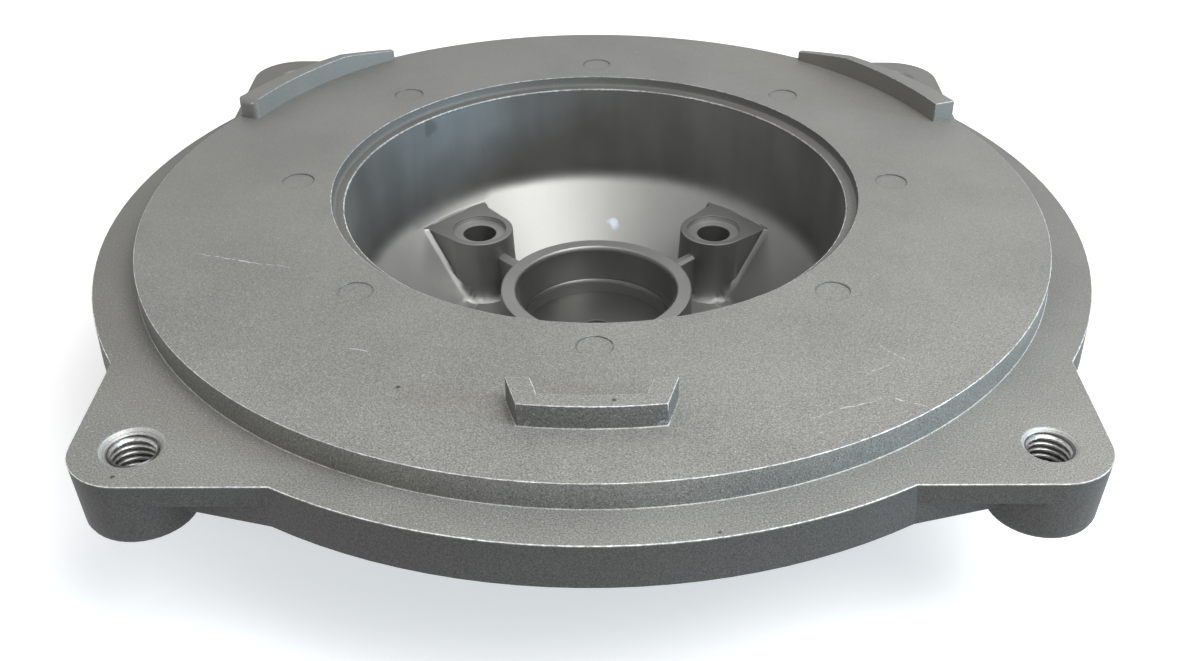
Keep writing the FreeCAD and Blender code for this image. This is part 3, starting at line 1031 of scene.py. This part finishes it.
def thread_material():
    """Cut metal with fine turning lines, with painted shade at the threads' roots and deeper in the hole.
    """
    values = settings()
    material, tree, surface = empty_material("cut_thread")
    place = node(tree, "ShaderNodeTexCoord").outputs["Object"]
    lines = noise(tree, vectors(tree, "MULTIPLY", place, (1.0, 1.0, 9.0)), 0.0006, detail=3.0)
    from_lug = corner_distance(tree, place, 0.0, lug_reach)
    root_shade = fade(tree, from_lug, lug_hole_r - 0.6 * values.thread_depth, lug_hole_r, 1.0, 0.25)
    in_shade = fade(tree, split(tree, place)[2], -0.0015, -0.007, 1.0, 0.45)
    dull = opaque(values.worn_colour, 0.35)
    bare = opaque(values.worn_colour, 0.75)
    colour = blend(tree, fade(tree, lines, 0.35, 0.7), dull, bare)
    plug(tree, tinted(tree, colour, product(tree, root_shade, in_shade)), surface["Base Color"])
    plug(tree, 1.0, surface["Metallic"])
    plug(tree, fade(tree, lines, 0.3, 0.7, 0.28, 0.42), surface["Roughness"])
    bump = node(tree, "ShaderNodeBump", {"Height": lines, "Distance": 0.00003, "Strength": 0.4})
    plug(tree, bump.outputs["Normal"], surface["Normal"])
    return material


class COVER_OT_threads(Operator):
    """Cut a thread into each lug's hole"""

    bl_idname = "cover.threads"
    bl_label = "Lug threads"

    def execute(self, context):
        material = thread_material()
        above_foot = 0.0003
        for depth, sy in (("front", -1), ("rear", 1)):
            for side, sx in (("left", -1), ("right", 1)):
                centre = (sx * lug_reach, sy * lug_reach)
                points = thread_points(centre, -lug_depth + above_foot, -countersink_h)
                piece = grid_mesh("thread_%s_%s" % (depth, side), points, True)
                piece.data.materials.append(material)
                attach(piece, "root")
        return {"FINISHED"}


# The studio


def seen_rays(tree):
    """1 for rays that the camera sees straight on or through a polished or clear surface."""
    rays = node(tree, "ShaderNodeLightPath").outputs
    return highest(tree, (rays["Is Camera Ray"], rays["Is Glossy Ray"], rays["Is Transmission Ray"]))


def floor_material():
    """Pale floor that keeps the cover's shadow, with a little light of its own where it is seen."""
    material, tree = empty_material("studio_floor")[:2]
    tree.nodes.remove(tree.nodes["Principled BSDF"])
    plain = node(tree, "ShaderNodeBsdfDiffuse", {"Color": opaque(settings().floor_colour)})
    glow = node(tree, "ShaderNodeEmission", {"Strength": product(tree, seen_rays(tree), floor_glow)})
    both = node(tree, "ShaderNodeAddShader", {0: plain.outputs[0], 1: glow.outputs[0]})
    plug(tree, both.outputs[0], tree.nodes["Material Output"].inputs["Surface"])
    return material


def studio_world():
    """Grey room light, seen as white by the camera and in the metal."""
    world = bpy.data.worlds.new("studio")
    bpy.context.scene.world = world
    world.use_nodes = True
    tree = world.node_tree
    background = tree.nodes["Background"].inputs
    background["Color"].default_value = (1.0, 1.0, 1.0, 1.0)
    strength = maths(tree, "MULTIPLY_ADD", seen_rays(tree), 1.0 - room_light, room_light)
    plug(tree, strength, background["Strength"])


def lamp(name, place, size, power, colour=(1.0, 1.0, 1.0)):
    """Square soft lamp that points at the cover."""
    data = bpy.data.lights.new(name, "AREA")
    data.shape = "SQUARE"
    data.size = size
    data.energy = power
    data.color = colour
    made = bpy.data.objects.new(name, data)
    bpy.context.scene.collection.objects.link(made)
    made.location = place
    made.rotation_euler = (-Vector(place)).to_track_quat("-Z", "Y").to_euler()


def photo_camera():
    """Camera at the photograph's place and angle."""
    camera = bpy.data.cameras.new("photo_view")
    camera.lens = 42.98
    camera.sensor_width = 36.0
    camera.shift_x = -0.0262
    camera.shift_y = 0.0025
    seat = bpy.data.objects.new("photo_view", camera)
    seat.location = (0.001855, -0.31897, 0.17635)
    seat.rotation_euler = Euler((math.radians(56.645), math.radians(-0.553), math.radians(-0.982)))
    bpy.context.scene.collection.objects.link(seat)
    bpy.context.scene.camera = seat


class COVER_OT_stage(Operator):
    """Lay the floor, set the lamps and place the camera at the photograph's view"""

    bl_idname = "cover.stage"
    bl_label = "Studio"

    def execute(self, context):
        reach = 3.0
        corners = np.array([[[-reach, -reach], [reach, -reach]], [[-reach, reach], [reach, reach]]])
        level = np.full((2, 2, 1), base_z)
        floor = grid_mesh("studio_floor", np.concatenate([corners, level], axis=-1), False)
        floor.data.materials.append(floor_material())
        studio_world()
        lamp("overhead", place=(0.3, -0.3, 0.64), size=0.5, power=5.5)
        lamp("window_side", place=(1.9, -0.68, 0.36), size=0.3, power=33.0, colour=(0.55, 0.8, 1.0))
        photo_camera()
        context.scene.view_settings.view_transform = "Standard"
        return {"FINISHED"}


class COVER_PT_panel(Panel):
    """Lists the cover's pieces and their settings"""

    bl_idname = "COVER_PT_panel"
    bl_label = "Casing cover"
    bl_space_type = "VIEW_3D"
    bl_region_type = "UI"
    bl_category = "Casing cover"

    def draw(self, context):
        layout = self.layout
        values = context.scene.cover_settings
        for name in values.__annotations__:
            layout.prop(values, name)
        for step in steps:
            layout.operator(step.bl_idname)


steps = (COVER_OT_effects, COVER_OT_casting, COVER_OT_threads, COVER_OT_stage)
classes = (CoverSettings, *steps, COVER_PT_panel)


def register():
    for item in classes:
        bpy.utils.register_class(item)
    bpy.types.Scene.cover_settings = PointerProperty(type=CoverSettings)


def unregister():
    del bpy.types.Scene.cover_settings
    for item in reversed(classes):
        bpy.utils.unregister_class(item)


def main():
    register()
    bpy.ops.cover.effects()
    bpy.ops.cover.casting()
    bpy.ops.cover.threads()
    bpy.ops.cover.stage()


if __name__ == "__main__":
    main()
